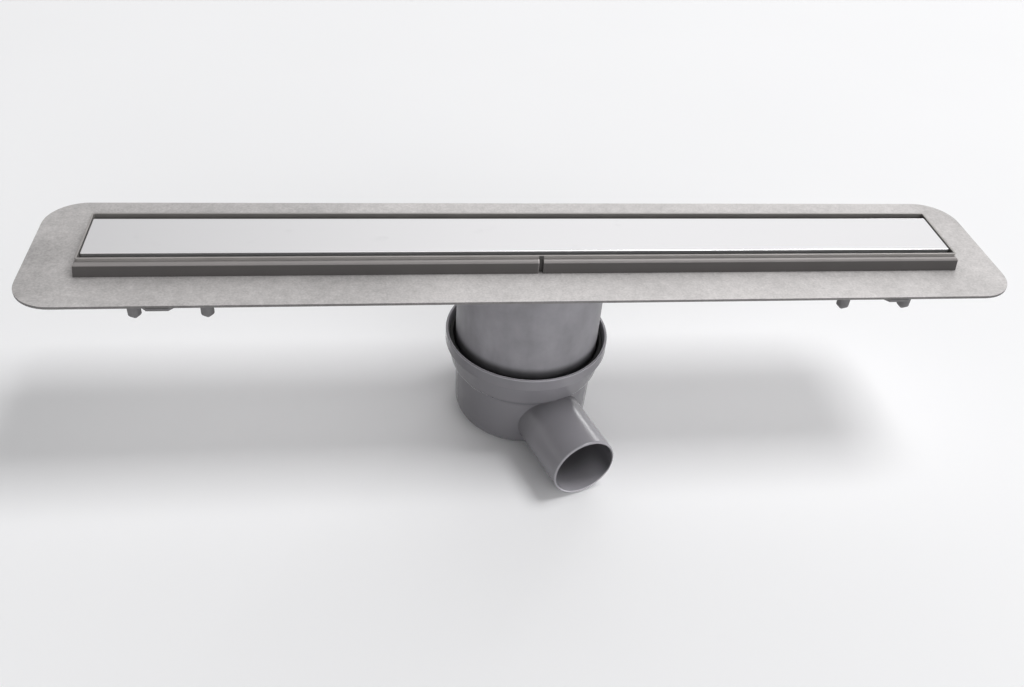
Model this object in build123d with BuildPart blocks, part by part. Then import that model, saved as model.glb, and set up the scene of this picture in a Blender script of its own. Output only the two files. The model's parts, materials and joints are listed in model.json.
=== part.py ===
from build123d import *
from math import cos, radians, sin
import os

os.makedirs("parts", exist_ok=True)

# Linear shower drain: a folded steel channel with a bonding flange, and a push-fit trap pot below it.
# Origin on the pot's axis, on the plane that the pot stands on. +X along the channel, +Z up.

# Channel in plan
trough_in_l = 620.0
trough_in_w = 54.4
sheet_t = 1.5
trough_corner_r = 2.0
trough_cap_l = 8.0
flange_end = 38.5
flange_side = 35.3
flange_corner_r = 28.0
flange_t = 2.0
weld_gap = 0.1

# Channel in height
upstand_h = 13.2
trough_drop = 24.0
floor_rise = 3.5
floor_flat_l = 76.0

# Edging strips round the upstand
band_t = 2.6
band_end_t = 1.4
band_h = 10.7
band_round = 2.4
band_joint = 3.0

# Cover, its bridges and pads
slot_w = 5.6
cover_end_gap = 1.0
cover_recess = 0.5
cover_h = 9.0
cover_fold_r = 1.0
pad_t = 1.5
pad_l = 10.0
pad_w = 6.0
bridge_l = 14.0
bridge_leg = 12.0
bridge_inner_x = 95.0
bridge_outer_inset = 58.0

# Trap pot
outlet_r = 25.0
outlet_wall = 1.8
outlet_lift = 0.8
outlet_reach = 106.4
outlet_root_l = 62.0
outlet_root_step = 0.5
outlet_angle = -71.0
mouth_chamfer = 1.2
pot_wall = 2.2
pot_floor_t = 2.2
pot_draft = 1.2
pot_corner_r = 13.0
pot_depth = 53.0
shoulder_drop = 1.0
shoulder_h = 5.0
ledge_w = 3.7
guide_h = 4.0
seal_seat_h = 14.0
seal_groove_w = 3.7
seal_groove_h = 7.0
mouth_flare = 2.0
rim_rise = 4.4
rim_wall = 1.6
rim_band_h = 9.8
rim_chamfer = 0.7

# Collar between channel and pot
collar_r = 55.0
collar_wall = 2.7
collar_l = 97.0
collar_lead = 1.4
spigot_gap = 0.3
notch_gap = 0.5
deck_t = 3.0
hub_wall = 5.2
hub_l = 14.0
rib_t = 2.0
rib_h = 9.0
rib_count = 8
ear_angle = 48.0
ear_reach = 8.0
ear_w = 14.0
ear_t = 4.0

# Collar fasteners (M5)
collar_stud_r = 2.5
collar_stud_l = 10.5
collar_stud_chamfer = 0.8
ear_hole_gap = 0.3
washer_r = 5.0
washer_t = 1.0
nut_flats = 8.0
nut_h = 4.0

# Outlet neck and its seal
neck_side_gap = 1.6
rim_lap = 2.6
neck_wall = 1.5
neck_l = 17.0
neck_gap = 0.3
neck_seal_r = 1.5
seal_squeeze = 0.1

# Lift-out trap
tube_rim_t = 2.0
plug_gap = 0.4
plug_l = 17.0
plug_wall = 3.6
tube_seal_r = 1.2
funnel_l = 10.0
tube_wall = 1.8
insert_gap = 0.6
water_gap = 3.8
cup_wall = 1.6
cup_clear = 13.8
cup_sump = 8.0
seal_depth = 54.0
cup_rib_t = 1.6
cup_rib_count = 4
cup_ledge = 3.0
rib_grip = 0.1

# Strainer
strainer_t = 1.2
strainer_lap = 0.6
strainer_hole_r = 2.0
strainer_pitch = 7.6
knob_r = 3.6
knob_h = 6.0
knob_chamfer = 1.2

# Lip seal in the pot's socket
lip_t = 1.8
lip_gap = 0.3
seal_fit = 0.1

# Weld studs for mounting feet, and anchor tabs
foot_inset = 96.7
stud_pitch_x = 48.0
stud_offset = 10.0
foot_stud_r = 4.5
foot_stud_l = 26.0
foot_stud_chamfer = 3.2
tab_w = 20.0
tab_l = 24.0
tab_t = 1.8
tab_proud = 0.8
tab_shift = 2.2
tab_chamfer = 3.0

# Sizes that follow
trough_l = trough_in_l + 2 * sheet_t
trough_w = trough_in_w + 2 * sheet_t
cap_x = trough_l / 2 - trough_cap_l / 2
flange_l = trough_l + 2 * flange_end
flange_w = trough_w + 2 * flange_side
flange_under_z = pot_depth + collar_l
flange_z = flange_under_z + flange_t
frame_top_z = flange_z + upstand_h
trough_under_z = flange_under_z - trough_drop
floor_z = trough_under_z + sheet_t
cover_l = trough_in_l - 2 * cover_end_gap
cover_w = trough_in_w - 2 * slot_w
cover_top_z = frame_top_z - cover_recess
cover_edge_z = cover_top_z - cover_h
bridge_top_z = cover_edge_z - pad_t
bridge_outer_x = trough_in_l / 2 - bridge_outer_inset
bridge_xs = (-bridge_outer_x, -bridge_inner_x, bridge_inner_x, bridge_outer_x)
pad_y = cover_w / 2 - pad_w / 2
socket_r = collar_r + spigot_gap
pot_in_r = socket_r - ledge_w
pot_r = pot_in_r + pot_wall
groove_r = socket_r + seal_groove_w
mouth_r = groove_r + mouth_flare
rim_r = mouth_r + rim_wall
seal_seat_z = pot_depth + seal_seat_h
rim_top_z = seal_seat_z + seal_groove_h + rim_rise
outlet_z = outlet_lift + outlet_r
neck_bore_r = trough_in_w / 2 - neck_side_gap - rim_lap
neck_r = neck_bore_r + neck_wall
hub_bore_r = neck_r + neck_gap
hub_r = hub_bore_r + hub_wall
neck_seal_z = trough_under_z - hub_l / 2
ear_pitch_r = collar_r + ear_reach
ear_x = ear_pitch_r * cos(radians(ear_angle))
ear_y = ear_pitch_r * sin(radians(ear_angle))
ear_under_z = flange_under_z - ear_t
washer_under_z = ear_under_z - washer_t
plug_r = neck_bore_r - plug_gap
cup_r = neck_bore_r - insert_gap
cup_in_r = cup_r - cup_wall
tube_r = cup_in_r - water_gap
tube_in_r = tube_r - tube_wall
tube_rim_z = floor_z + tube_rim_t
plug_end_z = floor_z - plug_l
tube_seal_z = floor_z - plug_l / 2
cup_under_z = pot_floor_t + cup_clear
tube_end_z = cup_under_z + cup_wall + cup_sump
cup_rim_z = tube_end_z + seal_depth
foot_x = flange_l / 2 - foot_inset
tab_x = foot_x + tab_shift
stud_y = trough_w / 2 + stud_offset

# Bonding flange: one sheet, open where the trough passes
with BuildPart() as flange_plate:
    with BuildSketch(Plane.XY.offset(flange_under_z)):
        RectangleRounded(flange_l, flange_w, flange_corner_r)
        RectangleRounded(
            trough_l + 2 * weld_gap, trough_w + 2 * weld_gap, trough_corner_r + weld_gap, mode=Mode.SUBTRACT
        )
    extrude(amount=flange_t)
flange_plate.part.label = "flange_plate"
export_step(flange_plate.part, "parts/flange_plate.step")

# Trough: folded sheet closed by a pressed cap at each end; its floor falls to a flat round the outlet
for name, span_x, span_l in (
    ("trough", 0, trough_l - 2 * trough_cap_l),
    ("trough_cap_left", -cap_x, trough_cap_l),
    ("trough_cap_right", cap_x, trough_cap_l),
):
    with BuildPart() as trough:
        with BuildSketch(Plane.XZ):
            with BuildLine():
                Polyline(
                    (-trough_l / 2, frame_top_z),
                    (-trough_l / 2, trough_under_z + floor_rise),
                    (-floor_flat_l / 2, trough_under_z),
                    (floor_flat_l / 2, trough_under_z),
                    (trough_l / 2, trough_under_z + floor_rise),
                    (trough_l / 2, frame_top_z),
                    close=True,
                )
            make_face()
        extrude(amount=trough_w / 2, both=True)
        fillet(trough.edges().filter_by(Axis.Z), trough_corner_r)
        offset(amount=-sheet_t, openings=trough.faces().sort_by(Axis.Z)[-1])
        with BuildSketch(Plane.XY.offset(floor_z)):
            Circle(neck_bore_r)
        extrude(amount=-sheet_t, mode=Mode.SUBTRACT)
        with BuildSketch(Plane.XY):
            with Locations((span_x, 0)):
                Rectangle(span_l, flange_w)
        extrude(amount=frame_top_z, mode=Mode.INTERSECT)
    trough.part.label = name
    export_step(trough.part, f"parts/{name}.step")

# Edging strips: two halves with square corners that stand on the flange round the upstand
for side, direction in (("left", -1), ("right", 1)):
    with BuildPart() as edge_band:
        with BuildSketch(Plane.XY.offset(flange_z)):
            Rectangle(trough_l + 2 * band_end_t, trough_w + 2 * band_t)
        extrude(amount=band_h)
        fillet(edge_band.faces().sort_by(Axis.Z)[-1].edges(), band_round)
        with BuildSketch(Plane.XY.offset(flange_z)):
            RectangleRounded(trough_l + 2 * weld_gap, trough_w + 2 * weld_gap, trough_corner_r + weld_gap)
            with Locations((-direction * trough_l / 2, 0)):
                Rectangle(trough_l + band_joint, flange_w)
        extrude(amount=band_h, mode=Mode.SUBTRACT)
    edge_band.part.label = f"edge_band_{side}"
    export_step(edge_band.part, f"parts/edge_band_{side}.step")

# Cover: a folded tray, open below
with BuildPart() as cover_plate:
    with BuildSketch(Plane.XY.offset(cover_edge_z)):
        RectangleRounded(cover_l, cover_w, cover_fold_r)
    extrude(amount=cover_h)
    fillet(cover_plate.faces().sort_by(Axis.Z)[-1].edges(), cover_fold_r - weld_gap)
    with BuildSketch(Plane.XY.offset(cover_edge_z)):
        Rectangle(cover_l - 2 * sheet_t, cover_w - 2 * sheet_t)
    extrude(amount=cover_h - sheet_t, mode=Mode.SUBTRACT)
cover_plate.part.label = "cover_plate"
export_step(cover_plate.part, "parts/cover_plate.step")

# Bridges: bent strips welded wall to wall, open below for the water
for number, bridge_x in enumerate(bridge_xs, start=1):
    with BuildPart() as support_bridge:
        with BuildSketch(Plane.YZ.offset(bridge_x)):
            with BuildLine():
                Polyline(
                    (-trough_in_w / 2, bridge_top_z - bridge_leg),
                    (-trough_in_w / 2, bridge_top_z),
                    (trough_in_w / 2, bridge_top_z),
                    (trough_in_w / 2, bridge_top_z - bridge_leg),
                    (trough_in_w / 2 - sheet_t, bridge_top_z - bridge_leg),
                    (trough_in_w / 2 - sheet_t, bridge_top_z - sheet_t),
                    (-trough_in_w / 2 + sheet_t, bridge_top_z - sheet_t),
                    (-trough_in_w / 2 + sheet_t, bridge_top_z - bridge_leg),
                    close=True,
                )
            make_face()
        extrude(amount=bridge_l / 2, both=True)
        fillet(support_bridge.edges().filter_by(Axis.X).group_by(Axis.Z)[-1], sheet_t)
    support_bridge.part.label = f"support_bridge_{number}"
    export_step(support_bridge.part, f"parts/support_bridge_{number}.step")

# Pads on the bridges, under the cover's folded edges
with BuildPart() as cover_pads:
    with BuildSketch(Plane.XY.offset(bridge_top_z)):
        with Locations(*[(x, y) for x in bridge_xs for y in (-pad_y, pad_y)]):
            Rectangle(pad_l, pad_w)
    extrude(amount=pad_t)
cover_pads.part.label = "cover_pads"
export_step(cover_pads.part, "parts/cover_pads.step")

# Outlet neck: tube welded under the trough's hole
with BuildPart() as outlet_neck:
    with BuildSketch(Plane.XY.offset(trough_under_z)):
        Circle(neck_r)
        Circle(neck_bore_r, mode=Mode.SUBTRACT)
    extrude(amount=-neck_l)
outlet_neck.part.label = "outlet_neck"
export_step(outlet_neck.part, "parts/outlet_neck.step")

# Collar: pipe-sized moulding, notched for the trough, with a ribbed deck round the neck and four ears
with BuildPart() as drain_collar:
    with BuildSketch(Plane.XY.offset(flange_under_z)):
        Circle(collar_r)
    extrude(amount=-collar_l)
    chamfer(drain_collar.edges().group_by(Axis.Z)[0], length=2 * collar_lead, length2=collar_lead)
    with BuildSketch(Plane.XY.offset(flange_under_z)):
        for angle in (ear_angle, -ear_angle):
            SlotCenterToCenter(2 * ear_pitch_r, ear_w, rotation=angle)
    extrude(amount=-ear_t)
    with BuildSketch(Plane.XY.offset(flange_under_z)):
        with GridLocations(2 * ear_x, 2 * ear_y, 2, 2):
            Circle(collar_stud_r + ear_hole_gap)
    extrude(amount=-ear_t, mode=Mode.SUBTRACT)
    with BuildSketch(Plane.XY.offset(flange_under_z)):
        Circle(collar_r - collar_wall)
    extrude(amount=-collar_l, mode=Mode.SUBTRACT)
    with BuildSketch(Plane.XY.offset(trough_under_z)):
        Rectangle(2 * collar_r + 2 * ear_w, trough_w + 2 * notch_gap)
    extrude(amount=trough_drop, mode=Mode.SUBTRACT)
    with BuildSketch(Plane.XY.offset(trough_under_z)):
        Circle(collar_r - collar_wall / 2)
    extrude(amount=-deck_t)
    with BuildSketch(Plane.XY.offset(trough_under_z)):
        Circle(hub_r)
    extrude(amount=-hub_l)
    with BuildSketch(Plane.XY.offset(trough_under_z)):
        with PolarLocations(0, rib_count // 2, 180 / rib_count, 180):
            Rectangle(2 * collar_r - collar_wall, rib_t)
    extrude(amount=-deck_t - rib_h)
    with BuildSketch(Plane.XY.offset(trough_under_z)):
        Circle(hub_bore_r)
    extrude(amount=-hub_l, mode=Mode.SUBTRACT)
    with BuildSketch(Plane.XY.offset(neck_seal_z)):
        Circle(neck_r + 2 * neck_seal_r + 2 * seal_squeeze)
    extrude(amount=neck_seal_r + seal_squeeze, both=True, mode=Mode.SUBTRACT)
drain_collar.part.label = "drain_collar"
export_step(drain_collar.part, "parts/drain_collar.step")

# Collar fasteners: weld studs on the flange, washers and nuts under the ears
with BuildPart() as collar_studs:
    with BuildSketch(Plane.XY.offset(flange_under_z)):
        with GridLocations(2 * ear_x, 2 * ear_y, 2, 2):
            Circle(collar_stud_r)
    extrude(amount=-collar_stud_l)
    chamfer(collar_studs.edges().group_by(Axis.Z)[0], collar_stud_chamfer)
collar_studs.part.label = "collar_studs"
export_step(collar_studs.part, "parts/collar_studs.step")

with BuildPart() as collar_washers:
    with BuildSketch(Plane.XY.offset(ear_under_z)):
        with GridLocations(2 * ear_x, 2 * ear_y, 2, 2):
            Circle(washer_r)
            Circle(collar_stud_r + ear_hole_gap, mode=Mode.SUBTRACT)
    extrude(amount=-washer_t)
collar_washers.part.label = "collar_washers"
export_step(collar_washers.part, "parts/collar_washers.step")

with BuildPart() as collar_nuts:
    with BuildSketch(Plane.XY.offset(washer_under_z)):
        with GridLocations(2 * ear_x, 2 * ear_y, 2, 2):
            RegularPolygon(nut_flats / 2, 6, major_radius=False)
            Circle(collar_stud_r + weld_gap, mode=Mode.SUBTRACT)
    extrude(amount=-nut_h)
collar_nuts.part.label = "collar_nuts"
export_step(collar_nuts.part, "parts/collar_nuts.step")

# Ring seal between neck and collar
with BuildPart() as neck_seal:
    with BuildSketch(Plane.XZ):
        with Locations((neck_r + neck_seal_r + seal_squeeze, neck_seal_z)):
            RegularPolygon(neck_seal_r, 8)
    revolve(axis=Axis.Z)
neck_seal.part.label = "neck_seal"
export_step(neck_seal.part, "parts/neck_seal.step")

# Lift-out trap: a plug that hangs by its rim on the trough floor, and a dip tube joined to its end
with BuildPart() as trap_plug:
    with BuildSketch(Plane.XZ):
        with BuildLine():
            Polyline(
                (plug_r - plug_wall, tube_rim_z),
                (neck_bore_r + rim_lap, tube_rim_z),
                (neck_bore_r + rim_lap, floor_z),
                (plug_r, floor_z),
                (plug_r, plug_end_z),
                (plug_r - plug_wall, plug_end_z),
                close=True,
            )
        make_face()
        with Locations((neck_bore_r, tube_seal_z)):
            Rectangle(
                4 * tube_seal_r + 4 * seal_squeeze, 2 * tube_seal_r + 2 * seal_squeeze, mode=Mode.SUBTRACT
            )
    revolve(axis=Axis.Z)
trap_plug.part.label = "trap_plug"
export_step(trap_plug.part, "parts/trap_plug.step")

with BuildPart() as trap_tube:
    with BuildSketch(Plane.XZ):
        with BuildLine():
            Polyline(
                (plug_r - plug_wall, plug_end_z),
                (plug_r, plug_end_z),
                (tube_r, plug_end_z - funnel_l),
                (tube_r, tube_end_z),
                (tube_in_r, tube_end_z),
                (tube_in_r, plug_end_z - funnel_l),
                close=True,
            )
        make_face()
    revolve(axis=Axis.Z)
trap_tube.part.label = "trap_tube"
export_step(trap_tube.part, "parts/trap_tube.step")

with BuildPart() as tube_seal:
    with BuildSketch(Plane.XZ):
        with Locations((neck_bore_r - tube_seal_r - seal_squeeze, tube_seal_z)):
            RegularPolygon(tube_seal_r, 8)
    revolve(axis=Axis.Z)
tube_seal.part.label = "tube_seal"
export_step(tube_seal.part, "parts/tube_seal.step")

# Water-seal cup: its ribs grip the dip tube and carry its end
with BuildPart() as trap_cup:
    with BuildSketch(Plane.XY.offset(cup_under_z)):
        Circle(cup_r)
    extrude(amount=cup_rim_z - cup_under_z)
    chamfer(trap_cup.edges().group_by(Axis.Z)[0], cup_wall)
    with BuildSketch(Plane.XY.offset(cup_under_z + cup_wall)):
        Circle(cup_in_r)
    extrude(amount=cup_rim_z - cup_under_z, mode=Mode.SUBTRACT)
    with BuildSketch(Plane.XY.offset(cup_under_z + cup_wall)):
        with PolarLocations(0, cup_rib_count // 2, 0, 180):
            Rectangle(2 * cup_r - cup_wall, cup_rib_t)
        Circle(tube_r - cup_ledge, mode=Mode.SUBTRACT)
    extrude(amount=cup_sump + seal_depth / 2)
    with BuildSketch(Plane.XY.offset(tube_end_z)):
        Circle(tube_r + rib_grip)
    extrude(amount=seal_depth, mode=Mode.SUBTRACT)
trap_cup.part.label = "trap_cup"
export_step(trap_cup.part, "parts/trap_cup.step")

# Hair strainer on the dip tube's rim
with BuildPart() as strainer:
    with BuildSketch(Plane.XY.offset(tube_rim_z)):
        Circle(neck_bore_r + rim_lap - strainer_lap)
        with PolarLocations(strainer_pitch, 6):
            Circle(strainer_hole_r, mode=Mode.SUBTRACT)
        with PolarLocations(2 * strainer_pitch, 12):
            Circle(strainer_hole_r, mode=Mode.SUBTRACT)
    extrude(amount=strainer_t)
    with BuildSketch(Plane.XY.offset(tube_rim_z + strainer_t)):
        Circle(knob_r)
    extrude(amount=knob_h)
    chamfer(strainer.edges().group_by(Axis.Z)[-1], knob_chamfer)
strainer.part.label = "strainer"
export_step(strainer.part, "parts/strainer.step")

# Trap pot: flared socket, bowl and side outlet in one moulding
outlet_way = (cos(radians(outlet_angle)), sin(radians(outlet_angle)), 0)
outlet_plane = Plane(origin=(0, 0, outlet_z), z_dir=outlet_way)
outlet_axis = Axis((0, 0, outlet_z), outlet_way)
with BuildPart() as trap_pot:
    with BuildSketch(Plane.XZ) as pot_outline:
        with BuildLine():
            Polyline(
                (0, 0),
                (pot_r - pot_draft, 0),
                (pot_r, pot_depth - shoulder_drop - shoulder_h),
                (socket_r + pot_wall, pot_depth - shoulder_drop),
                (groove_r + pot_wall, rim_top_z - rim_band_h),
                (rim_r, rim_top_z - rim_band_h),
                (rim_r, rim_top_z),
                (0, rim_top_z),
                close=True,
            )
        make_face()
        fillet(pot_outline.vertices().group_by(Axis.Y)[0].sort_by(Axis.X)[-1], pot_corner_r)
        chamfer(pot_outline.vertices().group_by(Axis.Y)[-1].sort_by(Axis.X)[-1], rim_chamfer)
    revolve(axis=Axis.Z)
    with BuildSketch(outlet_plane):
        Circle(outlet_r + outlet_root_step)
    extrude(amount=outlet_root_l)
    with BuildSketch(outlet_plane):
        Circle(outlet_r)
    extrude(amount=outlet_reach)
    chamfer(trap_pot.faces().sort_by(outlet_axis)[-1].edges(), mouth_chamfer)
    with BuildSketch(Plane.XZ) as pot_hollow:
        with BuildLine():
            Polyline(
                (0, pot_floor_t),
                (pot_in_r - pot_draft, pot_floor_t),
                (pot_in_r, pot_depth),
                (socket_r, pot_depth),
                (socket_r, pot_depth + guide_h),
                (socket_r + mouth_flare, seal_seat_z),
                (groove_r, seal_seat_z),
                (groove_r, seal_seat_z + seal_groove_h),
                (mouth_r, rim_top_z),
                (0, rim_top_z),
                close=True,
            )
        make_face()
        chamfer(pot_hollow.vertices().group_by(Axis.Y)[0].sort_by(Axis.X)[-1], pot_corner_r / 2)
    revolve(axis=Axis.Z, mode=Mode.SUBTRACT)
    with BuildSketch(outlet_plane):
        Circle(outlet_r - outlet_wall)
    extrude(amount=outlet_reach, mode=Mode.SUBTRACT)
trap_pot.part.label = "trap_pot"
export_step(trap_pot.part, "parts/trap_pot.step")

# Lip seal: seated in the socket's groove, the lip reaching down to the spigot
seal_top_z = seal_seat_z + seal_groove_h - seal_fit
with BuildPart() as lip_seal:
    with BuildSketch(Plane.XZ):
        with BuildLine():
            Polyline(
                (groove_r - seal_fit, seal_seat_z),
                (groove_r - seal_fit, seal_top_z),
                (groove_r - seal_fit - lip_t, seal_top_z),
                (collar_r + lip_gap, seal_seat_z + lip_t),
                (collar_r + lip_gap, seal_seat_z + lip_t / 2),
                (groove_r - seal_fit - lip_t, seal_seat_z + lip_t),
                (groove_r - seal_fit - lip_t, seal_seat_z),
                close=True,
            )
        make_face()
    revolve(axis=Axis.Z)
lip_seal.part.label = "lip_seal"
export_step(lip_seal.part, "parts/lip_seal.step")

# Weld studs for mounting feet, four below each end of the flange
for side, direction in (("left", -1), ("right", 1)):
    with BuildPart() as foot_studs:
        with BuildSketch(Plane.XY.offset(flange_under_z)):
            with Locations((direction * foot_x, 0)):
                with GridLocations(stud_pitch_x, 2 * stud_y, 2, 2):
                    Circle(foot_stud_r)
        extrude(amount=-foot_stud_l)
        chamfer(foot_studs.edges().group_by(Axis.Z)[0], foot_stud_chamfer)
    foot_studs.part.label = f"foot_studs_{side}"
    export_step(foot_studs.part, f"parts/foot_studs_{side}.step")

# Anchor tabs: small plates under the long edges, a little proud of them
for row, front in (("front", -1), ("rear", 1)):
    for side, direction in (("left", -1), ("right", 1)):
        with BuildPart() as anchor_tab:
            with BuildSketch(Plane.XY.offset(flange_under_z)) as tab_outline:
                with Locations((direction * tab_x, front * (flange_w / 2 + tab_proud - tab_l / 2))):
                    Rectangle(tab_w, tab_l)
                chamfer(tab_outline.vertices().group_by(Axis.Y)[0 if front < 0 else -1], tab_chamfer)
            extrude(amount=-tab_t)
        anchor_tab.part.label = f"anchor_tab_{row}_{side}"
        export_step(anchor_tab.part, f"parts/anchor_tab_{row}_{side}.step")
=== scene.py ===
import json
import math

import bmesh
import bpy
from mathutils import Euler, Matrix, Vector


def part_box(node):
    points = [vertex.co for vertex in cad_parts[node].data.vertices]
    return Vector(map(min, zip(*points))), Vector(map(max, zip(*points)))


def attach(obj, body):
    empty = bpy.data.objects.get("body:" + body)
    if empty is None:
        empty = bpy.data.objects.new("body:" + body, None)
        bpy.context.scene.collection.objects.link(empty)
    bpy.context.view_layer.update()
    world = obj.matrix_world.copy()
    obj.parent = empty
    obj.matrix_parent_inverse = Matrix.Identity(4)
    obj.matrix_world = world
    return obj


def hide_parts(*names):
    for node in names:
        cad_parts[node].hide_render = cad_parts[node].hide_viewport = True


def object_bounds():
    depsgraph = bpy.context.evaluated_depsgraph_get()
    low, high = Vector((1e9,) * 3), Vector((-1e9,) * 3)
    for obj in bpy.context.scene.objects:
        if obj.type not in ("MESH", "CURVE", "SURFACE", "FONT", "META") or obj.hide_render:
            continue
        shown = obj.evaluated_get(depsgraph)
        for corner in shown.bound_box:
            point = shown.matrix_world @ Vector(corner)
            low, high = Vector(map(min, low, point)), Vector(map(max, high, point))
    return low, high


bl_info = {
    "name": "Linear Shower Drain",
    "version": (1, 0, 0),
    "blender": (4, 5, 0),
    "location": "3D View > Sidebar > Drain",
    "description": "Dresses the packed solids of a linear shower drain",
    "category": "Add Mesh",
}

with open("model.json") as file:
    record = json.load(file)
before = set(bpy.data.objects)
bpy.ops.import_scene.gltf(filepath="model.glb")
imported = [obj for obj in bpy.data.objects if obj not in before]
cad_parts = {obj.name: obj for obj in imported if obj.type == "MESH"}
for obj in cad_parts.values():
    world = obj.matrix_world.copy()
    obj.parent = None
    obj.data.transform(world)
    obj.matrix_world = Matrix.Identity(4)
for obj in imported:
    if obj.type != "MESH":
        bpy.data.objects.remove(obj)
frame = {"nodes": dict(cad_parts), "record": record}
CAD_LOW, CAD_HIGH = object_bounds()


def span(node):
    """A node's size along each axis."""
    low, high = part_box(node)
    return high - low


def mount(name):
    """A mount from the part's record."""
    return next(row for row in frame["record"]["mounts"] if row["name"] == name)


FLANGE_LOW, FLANGE_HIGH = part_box("flange_plate")
TROUGH_LOW, TROUGH_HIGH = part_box("trough")
TROUGH_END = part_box("trough_cap_right")[1].x
COVER_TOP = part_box("cover_plate")[1].z
BAND_LOW, BAND_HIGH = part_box("edge_band_right")
POT_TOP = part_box("trap_pot")[1].z
OUTLET_WAY = Vector(mount("outlet_spigot")["axis"]).normalized()
OUTLET_HEIGHT = mount("outlet_spigot")["pos_m"][2]

# Steps round a shape, how near counts as touching, and how far a cutter reaches past its piece.
POT_STEPS, PIPE_STEPS, HOLE_STEPS, STUD_STEPS = 128, 96, 64, 48
ON_AXIS, DOUBLES, TOUCH, NEAR = 1e-7, 1e-6, 1e-5, 1e-4
CUT_PAST, SLIT_PAST = 0.01, 0.001


def length(name, description, default):
    """A property for a size in metres."""
    return bpy.props.FloatProperty(
        name=name,
        description=description,
        default=default,
        min=0,
        precision=5,
        unit="LENGTH",
        subtype="DISTANCE",
    )


def colour(name, description, default):
    """A property for a finish's colour."""
    return bpy.props.FloatVectorProperty(
        name=name,
        description=description,
        default=default,
        size=3,
        min=0,
        max=1,
        subtype="COLOR",
    )


class ChannelSizes(bpy.types.PropertyGroup):
    """Sizes of the steel channel."""

    sheet: length("Sheet", "Thickness of the trough's and cover's sheet", 0.0015)
    flange_corner: length("Flange corner", "Radius of the flange's corners", 0.028)
    trough_corner: length("Trough corner", "Outer radius of the trough's upright corners", 0.002)
    trough_fold: length("Trough fold", "Outer radius of the folds round the trough's floor", 0.0022)
    floor_rise: length("Floor rise", "How far the trough's floor rises to its ends", 0.0035)
    floor_flat: length("Floor flat", "Length of the flat round the outlet", 0.076)
    outlet_hole: length("Outlet hole", "Radius of the hole in the trough's floor", 0.023)
    band_round: length("Strip rounding", "Radius of the edging strips' upper edge", 0.0024)
    band_joint: length("Strip joint", "Gap between the two edging strips", 0.003)
    band_lean: length("Strip lean", "How far the strips' outer ends lean out at their foot", 0.0012)
    weld_gap: length("Weld gap", "Space between the trough and what is welded round it", 0.0001)
    cover_fold: length("Cover fold", "Outer radius of the cover's folds", 0.0008)
    cover_stretch: length("Cover stretch", "How far each end of the cover closes its gap", 0.0004)
    edge: length("Edge rounding", "Rounding of sheared sheet edges", 0.0003)
    stud_end: length("Stud end", "Chamfer at a stud's end", 0.0032)
    tab_corner: length("Tab corner", "Cut corner of an anchor tab", 0.003)


class TrapSizes(bpy.types.PropertyGroup):
    """Sizes of the mouldings below the channel."""

    pot_wall: length("Pot wall", "Wall of the trap pot", 0.0022)
    pot_radius: length("Pot radius", "Outer radius of the bowl at its top", 0.0538)
    pot_draft: length("Pot draft", "How much narrower the bowl is at its base", 0.0012)
    pot_corner: length("Pot corner", "Outer rounding of the bowl's base", 0.013)
    ledge: length("Ledge height", "Height of the ledge that the spigot stands on", 0.053)
    shoulder_drop: length("Shoulder drop", "How far the shoulder starts below the ledge", 0.001)
    shoulder: length("Shoulder", "Height of the cone between bowl and socket", 0.005)
    guide: length("Guide", "Height of the plain guide above the ledge", 0.004)
    socket_radius: length("Socket radius", "Inner radius of the socket", 0.0553)
    seal_seat: length("Seal seat", "Height of the seal's seat above the ledge", 0.014)
    groove_radius: length("Groove radius", "Inner radius of the seal's groove", 0.059)
    groove: length("Groove", "Height of the seal's groove", 0.007)
    flare: length("Flare", "How far the mouth opens", 0.002)
    rim_radius: length("Rim radius", "Outer radius of the rim", 0.0626)
    rim_band: length("Rim band", "Height of the thick band at the rim", 0.0098)
    rim_round: length("Rim rounding", "Rounding of the rim's lip", 0.0007)
    outlet_radius: length("Outlet radius", "Outer radius of the side outlet", 0.025)
    outlet_wall: length("Outlet wall", "Wall of the side outlet", 0.0018)
    outlet_reach: length("Outlet reach", "From the pot's axis to the outlet's end", 0.1064)
    root_reach: length("Root reach", "From the pot's axis to the end of the thicker root", 0.062)
    root_step: length("Root step", "How much thicker the root is, on its radius", 0.0005)
    mouth_round: length("Mouth rounding", "Rounding at the outlet's end", 0.0017)


class FinishColours(bpy.types.PropertyGroup):
    """Colours of the finishes."""

    blasted: colour("Blasted steel", "Flange", (0.620, 0.599, 0.594))
    polished: colour("Polished steel", "Cover", (0.90, 0.893, 0.908))
    trough: colour("Trough steel", "Trough, bridges and neck", (0.44, 0.419, 0.405))
    strip: colour("Strip steel", "Edging strips", (0.272, 0.256, 0.252))
    stud: colour("Stud steel", "Studs, nuts, washers and tabs", (0.15, 0.147, 0.15))
    collar: colour("Collar moulding", "Collar above the pot", (0.234, 0.229, 0.245))
    pot: colour("Pot moulding", "Trap pot", (0.169, 0.1645, 0.178))
    trap: colour("Trap moulding", "Lift-out trap", (0.09, 0.09, 0.1))
    rubber: colour("Rubber", "Seals and pads", (0.02, 0.02, 0.02))
    floor: colour("Floor", "Studio floor", (0.94, 0.94, 0.952))


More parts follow.
